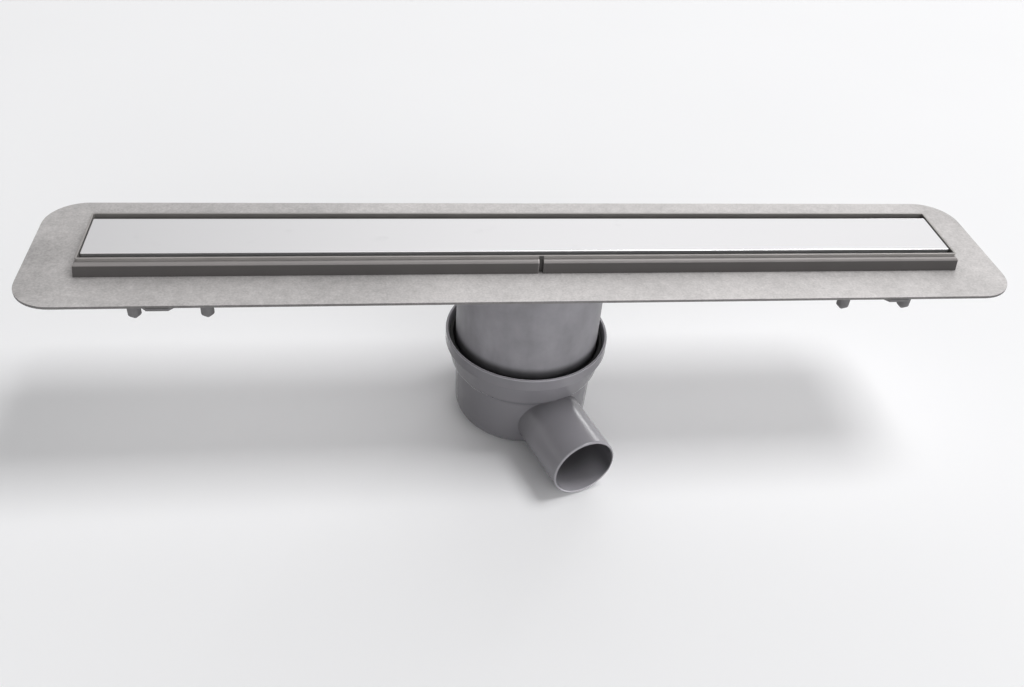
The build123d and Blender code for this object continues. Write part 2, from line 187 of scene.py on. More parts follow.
class StudioSettings(bpy.types.PropertyGroup):
    """Camera and light."""

    camera_place: bpy.props.FloatVectorProperty(
        name="Camera place",
        description="Where the camera stands",
        default=(-0.11318, -0.59148, 0.54626),
        subtype="TRANSLATION",
        unit="LENGTH",
    )
    camera_turn: bpy.props.FloatVectorProperty(
        name="Camera turn",
        description="How the camera is turned",
        default=(math.radians(51.071), math.radians(-4.059), math.radians(-6.587)),
        subtype="EULER",
        unit="ROTATION",
    )
    camera_lens: bpy.props.FloatProperty(
        name="Lens",
        description="Focal length on a 36 mm wide sensor, in millimetres",
        default=34.52,
    )
    sky: bpy.props.FloatProperty(
        name="Sky", description="Strength of the low light round the drain", default=4.5
    )
    key: bpy.props.FloatProperty(
        name="Key", description="Power of the large lamp", default=238.0, unit="POWER"
    )
    strip: bpy.props.FloatProperty(
        name="Strip", description="Power of the strip lamp", default=18.0, unit="POWER"
    )


class Wire:
    """A node socket whose arithmetic adds Math nodes."""

    def __init__(self, finish, socket):
        self.finish = finish
        self.socket = socket

    def math(self, operation, *values):
        return self.finish.node("ShaderNodeMath", {"operation": operation}, dict(enumerate(values)))

    def __add__(self, other):
        return self.math("ADD", self, other)

    def __radd__(self, other):
        return self.math("ADD", other, self)

    def __sub__(self, other):
        return self.math("SUBTRACT", self, other)

    def __rsub__(self, other):
        return self.math("SUBTRACT", other, self)

    def __mul__(self, other):
        return self.math("MULTIPLY", self, other)

    def __rmul__(self, other):
        return self.math("MULTIPLY", other, self)

    def __abs__(self):
        return self.math("ABSOLUTE", self)


class Finish:
    """A node tree, with one way to add any node to it."""

    def __init__(self, owner):
        owner.use_nodes = True
        self.tree = owner.node_tree
        self.tree.nodes.clear()

    def node(self, kind, settings=None, inputs=None, output=0):
        """Adds a node, sets it up, fills or links its sockets and gives one of its outputs."""
        made = self.tree.nodes.new(kind)
        for key, value in (settings or {}).items():
            setattr(made, key, value)
        for key, value in (inputs or {}).items():
            if isinstance(value, Wire):
                self.tree.links.new(value.socket, made.inputs[key])
            else:
                made.inputs[key].default_value = value
        return Wire(self, made.outputs[output]) if made.outputs else None

    def place(self, scale=(1, 1, 1)):
        """Object coordinates, stretched by a scale."""
        spot = self.node("ShaderNodeTexCoord", output="Object")
        return self.node("ShaderNodeMapping", inputs={"Vector": spot, "Scale": scale})

    def facing_up(self, low=0.1, high=0.6):
        """1 on level faces, 0 on upright ones."""
        normal = self.node("ShaderNodeTexCoord", output="Normal")
        return self.ramp(abs(self.part(normal, 2)), low, high)

    def noise(self, vector, scale, detail=2.0, roughness=0.5):
        """Noise from 0 to 1."""
        return self.node(
            "ShaderNodeTexNoise",
            inputs={"Vector": vector, "Scale": scale, "Detail": detail, "Roughness": roughness},
        )

    def part(self, vector, axis):
        """One coordinate of a vector."""
        return self.node("ShaderNodeSeparateXYZ", inputs={"Vector": vector}, output=axis)

    def ramp(self, value, low, high, out_low=0.0, out_high=1.0):
        """A smooth step between two values."""
        return self.node(
            "ShaderNodeMapRange",
            {"interpolation_type": "SMOOTHSTEP"},
            {
                "Value": value,
                "From Min": low,
                "From Max": high,
                "To Min": out_low,
                "To Max": out_high,
            },
        )

    def fade(self, value, low, high):
        """A smooth step down from 1 to 0."""
        return self.ramp(value, low, high, 1.0, 0.0)

    def shade(self, value, tint):
        """A colour times a grey value."""
        channels = dict.fromkeys(("Red", "Green", "Blue"), value)
        grey = self.node("ShaderNodeCombineColor", inputs=channels)
        return self.node(
            "ShaderNodeMix",
            {"data_type": "RGBA", "blend_type": "MULTIPLY"},
            {"Factor": 1.0, 6: tint, 7: grey},
            output=2,
        )

    def bump(self, height, strength, distance):
        """A bumped normal."""
        return self.node(
            "ShaderNodeBump", inputs={"Height": height, "Strength": strength, "Distance": distance}
        )

    def surface(self, glow=None, **inputs):
        """A Principled surface on the output, turned to plain white where it glows."""
        named = {key.replace("_", " "): value for key, value in inputs.items()}
        shader = self.node("ShaderNodeBsdfPrincipled", inputs=named)
        if glow is not None:
            white = self.node("ShaderNodeEmission", inputs={"Strength": 1.0})
            shader = self.node("ShaderNodeMixShader", inputs={0: glow, 1: shader, 2: white})
        self.node("ShaderNodeOutputMaterial", inputs={"Surface": shader})


def new_finish(name):
    """A material by that name and its tree, or the material alone if it is there already."""
    found = bpy.data.materials.get(name)
    if found:
        return found, None
    made = bpy.data.materials.new(name)
    return made, Finish(made)


def tint_of(finish):
    """A finish's colour as four numbers."""
    return (*getattr(bpy.context.scene.drain_colours, finish), 1.0)


def squares(limits):
    """Limits of a radius as limits of its square."""
    return [limit**2 for limit in limits]


# Where a change of tone starts and ends, in metres along the drain's own axes. The tones follow
# the light and shade on the real drain: they are no dirt, wear or print.
# The next six lines place painted shade on the flange and set how deep it is.
FOOT_ACROSS, FOOT_ALONG = (0.031, 0.045), (0.312, 0.328)
LEFT_ALONG, LEFT_SLANT, LEFT_SHADE = (-0.15, -0.085), 0.5, 0.155
RIGHT_ALONG, RIGHT_SLANT, RIGHT_SHADE = (0.285, 0.32), 0.3, 0.16
END_ALONG, END_ACROSS, END_MIDDLE, END_SHADE = (-0.345, -0.315), (0.02, 0.05), 0.02, 0.19
REAR_ACROSS, REAR_SHADE = (0.02, 0.04), 0.04
FOOT_SHADE = 0.10
# Painted shade on the trough's outer wall behind the strips' joint.
OUTER_WALL = (TROUGH_HIGH.y - 0.0006, TROUGH_HIGH.y - 0.0003)
JOINT_ALONG = (0.0014, 0.0020)
# Painted highlight on the left strip's end at the joint.
JOINT_HIGHLIGHT_START, JOINT_HIGHLIGHT_END = (-0.0026, -0.0018), (-0.0010, -0.0005)
MOUTH_RADII, MOUTH_HEIGHTS = (0.0612, 0.0618), (0.072, 0.083)
LIP_HEIGHTS = (POT_TOP - 0.0012, POT_TOP - 0.0003)
PIPE_ALONG = (0.05, 0.075)
PIPE_END = (0.0016, 0.0004)
BORE_RADII, BORE_ALONG = (0.0236, 0.0242), (0.056, 0.06)
BORE_DEPTH, BORE_LOW = (0.03, 0.002), (-0.02, -0.006)
SPIGOT_HEIGHTS, SPIGOT_SHADE = (POT_TOP - 0.001, POT_TOP + 0.0065), 0.27


def blasted_steel():
    """Pickled and blasted sheet: warm grey with a fine grain and soft clouds, darker where sheared.

    Painted shade darkens its ends, its rear and the flange beside the strips' foot.
    """
    material, tree = new_finish("blasted_steel")
    if tree:
        spot = tree.place()
        clouds = tree.noise(spot, scale=24, detail=3.0, roughness=0.55)
        blotch = tree.noise(spot, scale=150)
        grain = tree.noise(spot, scale=620, roughness=0.7)
        speckle = (clouds - 0.5) * 0.24 + (blotch - 0.5) * 0.28 + (grain - 0.5) * 0.50
        side, across = tree.part(spot, 0), tree.part(spot, 1)
        # Painted shade: beside the strips' foot, towards both ends, at the far left end and along
        # the rear.
        foot = tree.fade(abs(across), *FOOT_ACROSS) * tree.fade(abs(side), *FOOT_ALONG)
        left = tree.ramp(side + across * LEFT_SLANT, *LEFT_ALONG, LEFT_SHADE, 0.0)
        right = tree.ramp(side - across * RIGHT_SLANT, *RIGHT_ALONG, 0.0, RIGHT_SHADE)
        end = tree.ramp(side, *END_ALONG, END_SHADE, 0.0)
        end = end * tree.fade(abs(across + END_MIDDLE), *END_ACROSS)
        rear = tree.ramp(across, *REAR_ACROSS, 0.0, REAR_SHADE)
        dull_patches_and_shade = foot * FOOT_SHADE + left + end + right + rear
        value = (1 + speckle - dull_patches_and_shade) * (0.34 + tree.facing_up(0.5, 0.9) * 0.66)
        tree.surface(
            Base_Color=tree.shade(value, tint_of("blasted")),
            Metallic=0.5,
            Roughness=0.58 + clouds * 0.12,
            Normal=tree.bump(grain, strength=0.25, distance=0.0002),
        )
    return material


def trough_steel():
    """Mill-finished sheet; painted shade darkens its walls, most of all on the outer wall behind
    the strips' joint.
    """
    material, tree = new_finish("trough_steel")
    if tree:
        spot = tree.place()
        clouds = tree.noise(spot, scale=40, detail=3.0, roughness=0.55)
        # Painted shade on the outer wall where the strips' joint leaves a gap.
        outside = tree.ramp(abs(tree.part(spot, 1)), *OUTER_WALL)
        joint = tree.fade(abs(tree.part(spot, 0)), *JOINT_ALONG) * outside
        # Painted shade on upright walls; level faces stay lighter.
        value = (0.85 + clouds * 0.3) * (0.62 - joint * 0.47 + tree.facing_up() * 0.18)
        tree.surface(
            Base_Color=tree.shade(value, tint_of("trough")),
            Metallic=0.4,
            Roughness=0.36 + clouds * 0.12,
        )
    return material


def polished_steel():
    """Cover sheet, mirror-bright on top with faint ripples and smudges, satin on its skirts, which
    painted shade also darkens.
    """
    material, tree = new_finish("polished_steel")
    if tree:
        spot = tree.place()
        ripple = tree.noise(spot, scale=18, detail=1.0, roughness=0.4)
        smudge = tree.ramp(tree.noise(spot, scale=60, detail=3.0, roughness=0.6), 0.60, 0.75)
        level = tree.facing_up(0.2, 0.7)
        flat = tree.facing_up(0.9, 0.995)
        # Satin skirts, darkened further by painted shade.
        value = (1.0 - smudge * 0.03) * (0.28 + level * 0.72)
        tree.surface(
            Base_Color=tree.shade(value, tint_of("polished")),
            Metallic=0.2 + level * 0.8,
            Roughness=0.5 - level * 0.2 - flat * 0.2 + smudge * 0.08,
            Normal=tree.bump(ripple, strength=0.03, distance=0.0003),
        )
    return material


def strip_steel():
    """Satin strip with fine lines along it; painted shade darkens its upright face and a painted
    highlight brightens its end at the joint.
    """
    material, tree = new_finish("strip_steel")
    if tree:
        spot = tree.place()
        lines = tree.noise(tree.place((6, 900, 900)), scale=1.0, roughness=0.6)
        clouds = tree.noise(spot, scale=30)
        side = tree.part(spot, 0)
        # Painted highlight along the left strip's end at the joint.
        joint_highlight = tree.ramp(side, *JOINT_HIGHLIGHT_START) * tree.fade(side, *JOINT_HIGHLIGHT_END)
        worn = 0.82 + lines * 0.2 + clouds * 0.16
        # Painted shade on the strip's upright face; its rounded shoulder stays lighter.
        value = worn * (0.36 + tree.facing_up(0.03, 0.28) * 0.64) * (1 + joint_highlight)
        tree.surface(
            Base_Color=tree.shade(value, tint_of("strip")),
            Metallic=0.45,
            Roughness=0.48 + lines * 0.12,
            Normal=tree.bump(lines, strength=0.10, distance=0.0001),
        )
    return material


def turned_steel():
    """Plain turned steel with dull patches."""
    material, tree = new_finish("turned_steel")
    if tree:
        rings = tree.noise(tree.place((60, 60, 1400)), scale=1.0, detail=1.0)
        dull_patches_and_shade = tree.noise(tree.place(), scale=240)
        tree.surface(
            Base_Color=tree.shade(0.75 + dull_patches_and_shade * 0.4 + rings * 0.15, tint_of("stud")),
            Metallic=0.3,
            Roughness=0.50 + dull_patches_and_shade * 0.2,
            Normal=tree.bump(rings, strength=0.2, distance=0.0002),
        )
    return material


def pot_tones(tree, spot):
    """Painted highlight on the pot's lip and outlet end, painted light on its mouth and outlet,
    painted shade in the bore but for its low front.
    """
    x, y, z = (tree.part(spot, axis) for axis in range(3))
    reach = bpy.context.scene.drain_trap.outlet_reach
    along = x * OUTLET_WAY.x + y * OUTLET_WAY.y
    across = x * OUTLET_WAY.y - y * OUTLET_WAY.x
    above = z - OUTLET_HEIGHT
    # Painted light on the mouth, lip, outlet and its end; painted shade deep in the bore, lighter
    # at its low front.
    mouth = tree.fade(x * x + y * y, *squares(MOUTH_RADII)) * tree.ramp(z, *MOUTH_HEIGHTS)
    lip = tree.ramp(z, *LIP_HEIGHTS)
    end = tree.ramp(along, *(reach - inset for inset in PIPE_END))
    pipe = tree.ramp(along, *PIPE_ALONG)
    bore = tree.fade(across * across + above * above, *squares(BORE_RADII))
    bore = bore * tree.ramp(along, *BORE_ALONG)
    deep = tree.fade(along, *(reach - inset for inset in BORE_DEPTH))
    front = tree.fade(above, *BORE_LOW) * (1 - deep)
    inside = bore * (front * 1.2 - 0.55)
    return (1 + pipe * 0.55 + end * 0.3 + lip * 0.8 + mouth * 2.4) * (1 + inside)


def spigot_tones(tree, spot):
    """Shade on the collar's spigot where it goes down into the pot."""
    return tree.ramp(tree.part(spot, 2), *SPIGOT_HEIGHTS, SPIGOT_SHADE, 1.0)


def moulding(name, tint, streaks, gloss, shine=0.45, tones=None):
    """Grey polypropylene: blotchy upright flow marks over a fine skin, times any painted light and
    shade that is passed in.
    """
    material, tree = new_finish(name)
    if tree:
        spot = tree.place()
        flow = tree.noise(tree.place((46, 46, 13)), scale=1.0, detail=3.0, roughness=0.55)
        blotch = tree.noise(spot, scale=70, detail=3.0, roughness=0.6)
        skin = tree.noise(spot, scale=1800, detail=1.0)
        value = 1.0 - 0.5 * streaks + flow * streaks
        value = value + (blotch - 0.5) * 0.6 * streaks + (skin - 0.5) * 0.05
        if tones:
            value = value * tones(tree, spot)
        tree.surface(
            Base_Color=tree.shade(value, tint_of(tint)),
            Roughness=gloss + blotch * 0.12,
            Specular_IOR_Level=shine,
            Normal=tree.bump(skin, strength=0.06, distance=0.0002),
        )
    return material


def collar_moulding():
    """Streaky satin grey."""
    return moulding(
        "collar_moulding", "collar", streaks=0.62, gloss=0.34, shine=0.2, tones=spigot_tones
    )


def pot_moulding():
    """Even, glossier grey."""
    return moulding("pot_moulding", "pot", streaks=0.08, gloss=0.15, tones=pot_tones)


def inner_moulding():
    """Even dark grey."""
    return moulding("inner_moulding", "trap", streaks=0.08, gloss=0.34)


def seal_rubber():
    """Black rubber with a dusty bloom."""
    material, tree = new_finish("seal_rubber")
    if tree:
        bloom = tree.noise(tree.place(), scale=160, detail=3.0, roughness=0.6)
        tree.surface(
            Base_Color=tree.shade(0.7 + bloom * 0.9, tint_of("rubber")), Roughness=0.5 + bloom * 0.3
        )
    return material


def round_corners(shape, verts, radius, steps):
    """Rounds the corners of flat faces."""
    bmesh.ops.bevel(
        shape,
        geom=verts,
        offset=radius,
        offset_type="OFFSET",
        segments=steps,
        profile=0.5,
        affect="VERTICES",
        material=-1,
    )


def rounded_plate(shape, outline, height, steps=12):
    """A flat face with rounded corners; the outline is its length, width and corner radius."""
    old = set(shape.faces)
    along, across, radius = outline
    place = Matrix.Translation((0, 0, height)) @ Matrix.Diagonal((along, across, 1, 1))
    grid = bmesh.ops.create_grid(shape, x_segments=1, y_segments=1, size=0.5, matrix=place)
    if radius:
        round_corners(shape, grid["verts"], radius, steps)
    return next(face for face in shape.faces if face not in old)


def moved_verts(grown):
    """The vertices in an extrude's result."""
    return [part for part in grown["geom"] if isinstance(part, bmesh.types.BMVert)]


def round_edges(shape, edges, radius, steps=3):
    """Rounds edges."""
    bmesh.ops.bevel(
        shape,
        geom=edges,
        offset=radius,
        offset_type="OFFSET",
        segments=steps,
        profile=0.5,
        affect="EDGES",
        material=-1,
        clamp_overlap=True,
    )


def sharp_edges(shape, angle=40):
    """The edges where faces meet at more than an angle."""
    return [edge for edge in shape.edges if edge.calc_face_angle(0) > math.radians(angle)]


def ring_plate(shape, outer, inner, low, high):
    """A plate between two rounded outlines."""
    rims = []
    for outline in (outer, inner):
        face = rounded_plate(shape, outline, low)
        rims += list(face.edges)
        bmesh.ops.delete(shape, geom=[face], context="FACES_ONLY")
    faces = bmesh.ops.bridge_loops(shape, edges=rims)["faces"]
    grown = bmesh.ops.extrude_face_region(shape, geom=faces)
    bmesh.ops.translate(shape, verts=moved_verts(grown), vec=(0, 0, high - low))
    bmesh.ops.recalc_face_normals(shape, faces=shape.faces)


def block(shape, outline, low, high):
    """A solid block on an outline."""
    face = rounded_plate(shape, outline, low)
    grown = bmesh.ops.extrude_face_region(shape, geom=[face])
    bmesh.ops.translate(shape, verts=moved_verts(grown), vec=(0, 0, high - low))
    bmesh.ops.recalc_face_normals(shape, faces=shape.faces)


def turned(shape, points, rounds=(), steps=POT_STEPS):
    """Spins radii and heights round Z; rounds gives a point's number and its rounding."""
    old = set(shape.faces)
    corners = [shape.verts.new((radius, 0, height)) for radius, height in points]
    shape.faces.new(corners)
    for number, radius in rounds:
        round_corners(shape, [corners[number]], radius, steps=8)
    section = next(face for face in shape.faces if face not in old)
    edges = list(section.edges)
    verts = list(section.verts)
    bmesh.ops.delete(shape, geom=[section], context="FACES_ONLY")
    on_axis = [edge for edge in edges if all(abs(vert.co.x) < ON_AXIS for vert in edge.verts)]
    kept = [edge for edge in edges if edge not in on_axis]
    bmesh.ops.delete(shape, geom=on_axis, context="EDGES_FACES")
    verts = [vert for vert in verts if vert.is_valid]
    bmesh.ops.spin(
        shape,
        geom=verts + kept,
        cent=(0, 0, 0),
        axis=(0, 0, 1),
        dvec=(0, 0, 0),
        angle=math.tau,
        steps=steps,
        use_merge=True,
    )
    bmesh.ops.remove_doubles(shape, verts=shape.verts, dist=DOUBLES)
    bmesh.ops.recalc_face_normals(shape, faces=shape.faces)


def cut_across(shape, place, way=1, **options):
    """Cuts a shape at a place along X and gives the parts of the cut."""
    whole = shape.verts[:] + shape.edges[:] + shape.faces[:]
    return bmesh.ops.bisect_plane(
        shape, geom=whole, plane_co=(place, 0, 0), plane_no=(way, 0, 0), **options
    )["geom_cut"]


def lowest(edge):
    """The height of an edge's lower end."""
    return min(vert.co.z for vert in edge.verts)


def highest(edge):
    """The height of an edge's upper end."""
    return max(vert.co.z for vert in edge.verts)


def make_object(name, shape):
    """A bmesh as an object at the origin."""
    mesh = bpy.data.meshes.new(name)
    shape.to_mesh(mesh)
    shape.free()
    made = bpy.data.objects.new(name, mesh)
    bpy.context.scene.collection.objects.link(made)
    return made


def combine(piece, tool, operation):
    """Joins a tool to a piece, or cuts it out, and removes the tool."""
    step = piece.modifiers.new("combine", "BOOLEAN")
    step.operation = operation
    step.object = tool
    step.solver = "EXACT"
    graph = bpy.context.evaluated_depsgraph_get()
    mesh = bpy.data.meshes.new_from_object(piece.evaluated_get(graph))
    piece.modifiers.clear()
    old = piece.data
    piece.data = mesh
    bpy.data.meshes.remove(old)
    bpy.data.objects.remove(tool)


def dress(piece, material, body, nodes, angle=32):
    """Gives a new piece its finish, its body and the nodes that it stands for."""
    piece.data.materials.clear()
    piece.data.materials.append(material)
    piece.data.shade_smooth()
    piece.data.set_sharp_from_angle(angle=math.radians(angle))
    flat = piece.modifiers.new("flat_faces", "WEIGHTED_NORMAL")
    flat.keep_sharp = True
    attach(piece, body)
    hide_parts(*nodes)


def paint(node, material):
    """Gives a CAD node its finish."""
    mesh = frame["nodes"][node].data
    mesh.materials.clear()
    mesh.materials.append(material)


class DRAIN_OT_bonding_flange(bpy.types.Operator):
    """Blasted sheet round the channel, open where the trough passes"""

    bl_idname = "drain.bonding_flange"
    bl_label = "Bonding Flange"

    def execute(self, context):
        sizes = context.scene.drain_channel
        size = span("flange_plate")
        hole = 2 * sizes.weld_gap
        shape = bmesh.new()
        ring_plate(
            shape,
            (size.x, size.y, sizes.flange_corner),
            (
                2 * TROUGH_END + hole,
                span("trough").y + hole,
                sizes.trough_corner + sizes.weld_gap,
            ),
            FLANGE_LOW.z,
            FLANGE_HIGH.z,
        )
        round_edges(shape, sharp_edges(shape), sizes.edge / 2, steps=2)
        piece = make_object("bonding_flange", shape)
        dress(piece, blasted_steel(), "channel", ["flange_plate"])
        return {"FINISHED"}


class DRAIN_OT_trough(bpy.types.Operator):
    """Folded pan whose floor falls from both ends to the outlet"""

    bl_idname = "drain.trough"
    bl_label = "Trough"

    # The folds lie at least this far below the flange, and rise no more than this along an edge.
    fold_drop = 0.01
    fold_slope = 0.004

    def execute(self, context):
        sizes = context.scene.drain_channel
        size = span("trough")
        flat = sizes.floor_flat / 2
        shape = bmesh.new()
        outline = (2 * TROUGH_END, size.y, sizes.trough_corner)
        floor = rounded_plate(shape, outline, TROUGH_LOW.z, steps=8)
        grown = bmesh.ops.extrude_edge_only(shape, edges=list(floor.edges))
        bmesh.ops.translate(shape, verts=moved_verts(grown), vec=(0, 0, size.z))
        for place in (-flat, flat):
            cut_across(shape, place)
        level = [face for face in shape.faces if abs(face.normal.z) > 0.9]
        middle = min(level, key=lambda face: face.calc_center_median().length)
        rim = list(middle.edges)
        bmesh.ops.delete(shape, geom=[middle], context="FACES_ONLY")
        place = Matrix.Translation((0, 0, TROUGH_LOW.z))
        hole = bmesh.ops.create_circle(
            shape, segments=HOLE_STEPS, radius=sizes.outlet_hole, matrix=place
        )
        ring = {edge for vert in hole["verts"] for edge in vert.link_edges}
        bmesh.ops.triangle_fill(shape, use_beauty=True, edges=rim + list(ring))
        bmesh.ops.recalc_face_normals(shape, faces=shape.faces)
        for vert in shape.verts:
            if vert.co.z < TROUGH_LOW.z + TOUCH:
                run = max(0, abs(vert.co.x) - flat) / (TROUGH_END - flat)
                vert.co.z += sizes.floor_rise * run
        below = FLANGE_LOW.z - self.fold_drop
        folds = [
            edge
            for edge in sharp_edges(shape)
            if highest(edge) < below and highest(edge) - lowest(edge) < self.fold_slope
        ]
        round_edges(shape, folds, sizes.trough_fold, steps=5)
        bmesh.ops.solidify(shape, geom=shape.faces[:], thickness=sizes.sheet)
        top = [edge for edge in sharp_edges(shape) if lowest(edge) > TROUGH_HIGH.z - NEAR]
        round_edges(shape, top, sizes.edge, steps=2)
        piece = make_object("trough_pan", shape)
        nodes = ["trough", "trough_cap_left", "trough_cap_right"]
        dress(piece, trough_steel(), "channel", nodes)
        return {"FINISHED"}


class DRAIN_OT_edge_strips(bpy.types.Operator):
    """Two bent strips that stand on the flange round the trough"""

    bl_idname = "drain.edge_strips"
    bl_label = "Edging Strips"

    def execute(self, context):
        sizes = context.scene.drain_channel
        gap = 2 * sizes.weld_gap
        corner = sizes.trough_corner + sizes.weld_gap
        inner = (2 * TROUGH_END + gap, span("trough").y + gap, corner)
        for side, direction in (("left", -1), ("right", 1)):
            shape = bmesh.new()
            block(shape, (2 * BAND_HIGH.x, 2 * BAND_HIGH.y, 0), BAND_LOW.z, BAND_HIGH.z)
            shoulder = [edge for edge in shape.edges if lowest(edge) > BAND_HIGH.z - TOUCH]
            round_edges(shape, shoulder, sizes.band_round, steps=8)
            foot = [vert for vert in shape.verts if vert.co.z < BAND_LOW.z + TOUCH]
            stretch = Matrix.Diagonal((1 + sizes.band_lean / BAND_HIGH.x, 1, 1))
            bmesh.ops.transform(shape, matrix=stretch.to_4x4(), verts=foot)
            joint = direction * sizes.band_joint / 2
            cut = cut_across(shape, joint, direction, clear_inner=True)
            rim = [part for part in cut if isinstance(part, bmesh.types.BMEdge)]
            bmesh.ops.holes_fill(shape, edges=rim, sides=0)
            bmesh.ops.recalc_face_normals(shape, faces=shape.faces)
            round_edges(shape, [edge for edge in rim if edge.is_valid], sizes.edge, steps=2)
            piece = make_object(f"edging_strip_{side}", shape)
            opening = bmesh.new()
            block(opening, inner, BAND_LOW.z - SLIT_PAST, BAND_HIGH.z + SLIT_PAST)
            combine(piece, make_object("opening", opening), "DIFFERENCE")
            dress(piece, strip_steel(), "channel", [f"edge_band_{side}"])
        return {"FINISHED"}


class DRAIN_OT_cover(bpy.types.Operator):
    """Polished tray that drops into the trough"""

    bl_idname = "drain.cover"
    bl_label = "Cover"

    def execute(self, context):
        sizes = context.scene.drain_channel
        size = span("cover_plate")
        shape = bmesh.new()
        long = size.x + 2 * sizes.cover_stretch
        corner = sizes.cover_fold + 2 * sizes.weld_gap
        top = rounded_plate(shape, (long, size.y, corner), COVER_TOP, steps=6)
        folds = list(top.edges)
        grown = bmesh.ops.extrude_edge_only(shape, edges=folds)
        bmesh.ops.translate(shape, verts=moved_verts(grown), vec=(0, 0, -size.z))
        bmesh.ops.recalc_face_normals(shape, faces=shape.faces)
        round_edges(shape, folds, sizes.cover_fold, steps=6)
        bmesh.ops.solidify(shape, geom=shape.faces[:], thickness=sizes.sheet)
        piece = make_object("cover_tray", shape)
        dress(piece, polished_steel(), "channel", ["cover_plate"])
        return {"FINISHED"}


class DRAIN_OT_trap_pot(bpy.types.Operator):
    """Moulded pot: flared socket, bowl and side outlet"""

    bl_idname = "drain.trap_pot"
    bl_label = "Trap Pot"

    # Small roundings at the shoulder's foot, the shoulder's top and under the rim.
    eased = ((2, 0.002), (3, 0.0015), (5, 0.0005))
    # The outlet starts inside the bowl; its root thins out from before to past its reach.
    outlet_start = 0.01
    root_before = 0.015
    root_past = 0.02
    bore_chamfer = 0.0004

    def execute(self, context):
        sizes = context.scene.drain_trap
        top = POT_TOP
        wall = sizes.pot_wall
        seat = sizes.ledge + sizes.seal_seat
        inside = sizes.pot_radius - wall
        shoulder = sizes.ledge - sizes.shoulder_drop
        body = bmesh.new()
        turned(
            body,
            [
                (0, 0),
                (sizes.pot_radius - sizes.pot_draft, 0),
                (sizes.pot_radius, shoulder - sizes.shoulder),
                (sizes.socket_radius + wall, shoulder),
                (sizes.groove_radius + wall, top - sizes.rim_band),
                (sizes.rim_radius, top - sizes.rim_band),
                (sizes.rim_radius, top),
                (0, top),
            ],
            [(1, sizes.pot_corner), *self.eased, (6, sizes.rim_round)],
        )
        pot = make_object("trap_pot_moulding", body)
        turn = OUTLET_WAY.to_track_quat("Z", "Y").to_matrix().to_4x4()
        place = Matrix.Translation((0, 0, OUTLET_HEIGHT)) @ turn
        pipe = bmesh.new()
        radius = sizes.outlet_radius
        turned(
            pipe,
            [
                (0, self.outlet_start),
                (radius + sizes.root_step, self.outlet_start),
                (radius + sizes.root_step, sizes.root_reach - self.root_before),
                (radius, sizes.root_reach + self.root_past),
                (radius, sizes.outlet_reach),
                (0, sizes.outlet_reach),
            ],
            [(4, sizes.mouth_round)],
            PIPE_STEPS,
        )
        bmesh.ops.transform(pipe, matrix=place, verts=pipe.verts)
        combine(pot, make_object("pipe", pipe), "UNION")
        hollow = bmesh.new()
        turned(
            hollow,
            [
                (0, wall),
                (inside - sizes.pot_draft, wall),
                (inside, sizes.ledge),
                (sizes.socket_radius, sizes.ledge),
                (sizes.socket_radius, sizes.ledge + sizes.guide),
                (sizes.socket_radius + sizes.flare, seat),
                (sizes.groove_radius, seat),
                (sizes.groove_radius, seat + sizes.groove),
                (sizes.groove_radius + sizes.flare, top),
                (sizes.groove_radius + sizes.flare, top + CUT_PAST),
                (0, top + CUT_PAST),
            ],
            [(1, sizes.pot_corner - wall)],
        )
        combine(pot, make_object("hollow", hollow), "DIFFERENCE")
        bore = bmesh.new()
        inner = radius - sizes.outlet_wall
        turned(
            bore,
            [
                (0, 0),
                (inner, 0),
                (inner, sizes.outlet_reach - self.bore_chamfer),
                (inner + self.bore_chamfer, sizes.outlet_reach),
                (inner + self.bore_chamfer, sizes.outlet_reach + CUT_PAST),
                (0, sizes.outlet_reach + CUT_PAST),
            ],
            steps=PIPE_STEPS,
        )
        bmesh.ops.transform(bore, matrix=place, verts=bore.verts)
        combine(pot, make_object("bore", bore), "DIFFERENCE")
        dress(pot, pot_moulding(), "trap", ["trap_pot"])
        paint("lip_seal", seal_rubber())
        return {"FINISHED"}


class DRAIN_OT_collar(bpy.types.Operator):
    """Collar that joins the channel to the pot, with its nuts and washers"""

    bl_idname = "drain.collar"
    bl_label = "Collar"

    def execute(self, context):
        paint("drain_collar", collar_moulding())
        for node in ("collar_studs", "collar_washers", "collar_nuts"):
            paint(node, turned_steel())
        paint("outlet_neck", trough_steel())
        paint("neck_seal", seal_rubber())
        return {"FINISHED"}


class DRAIN_OT_inner_pieces(bpy.types.Operator):
    """Bridges, pads and the lift-out trap"""

    bl_idname = "drain.inner_pieces"
    bl_label = "Inner Pieces"

    def execute(self, context):
        for number in (1, 2, 3, 4):
            paint(f"support_bridge_{number}", trough_steel())
        paint("cover_pads", seal_rubber())
        for node in ("trap_plug", "trap_tube", "trap_cup"):
            paint(node, inner_moulding())
        paint("tube_seal", seal_rubber())
        paint("strainer", strip_steel())
        return {"FINISHED"}


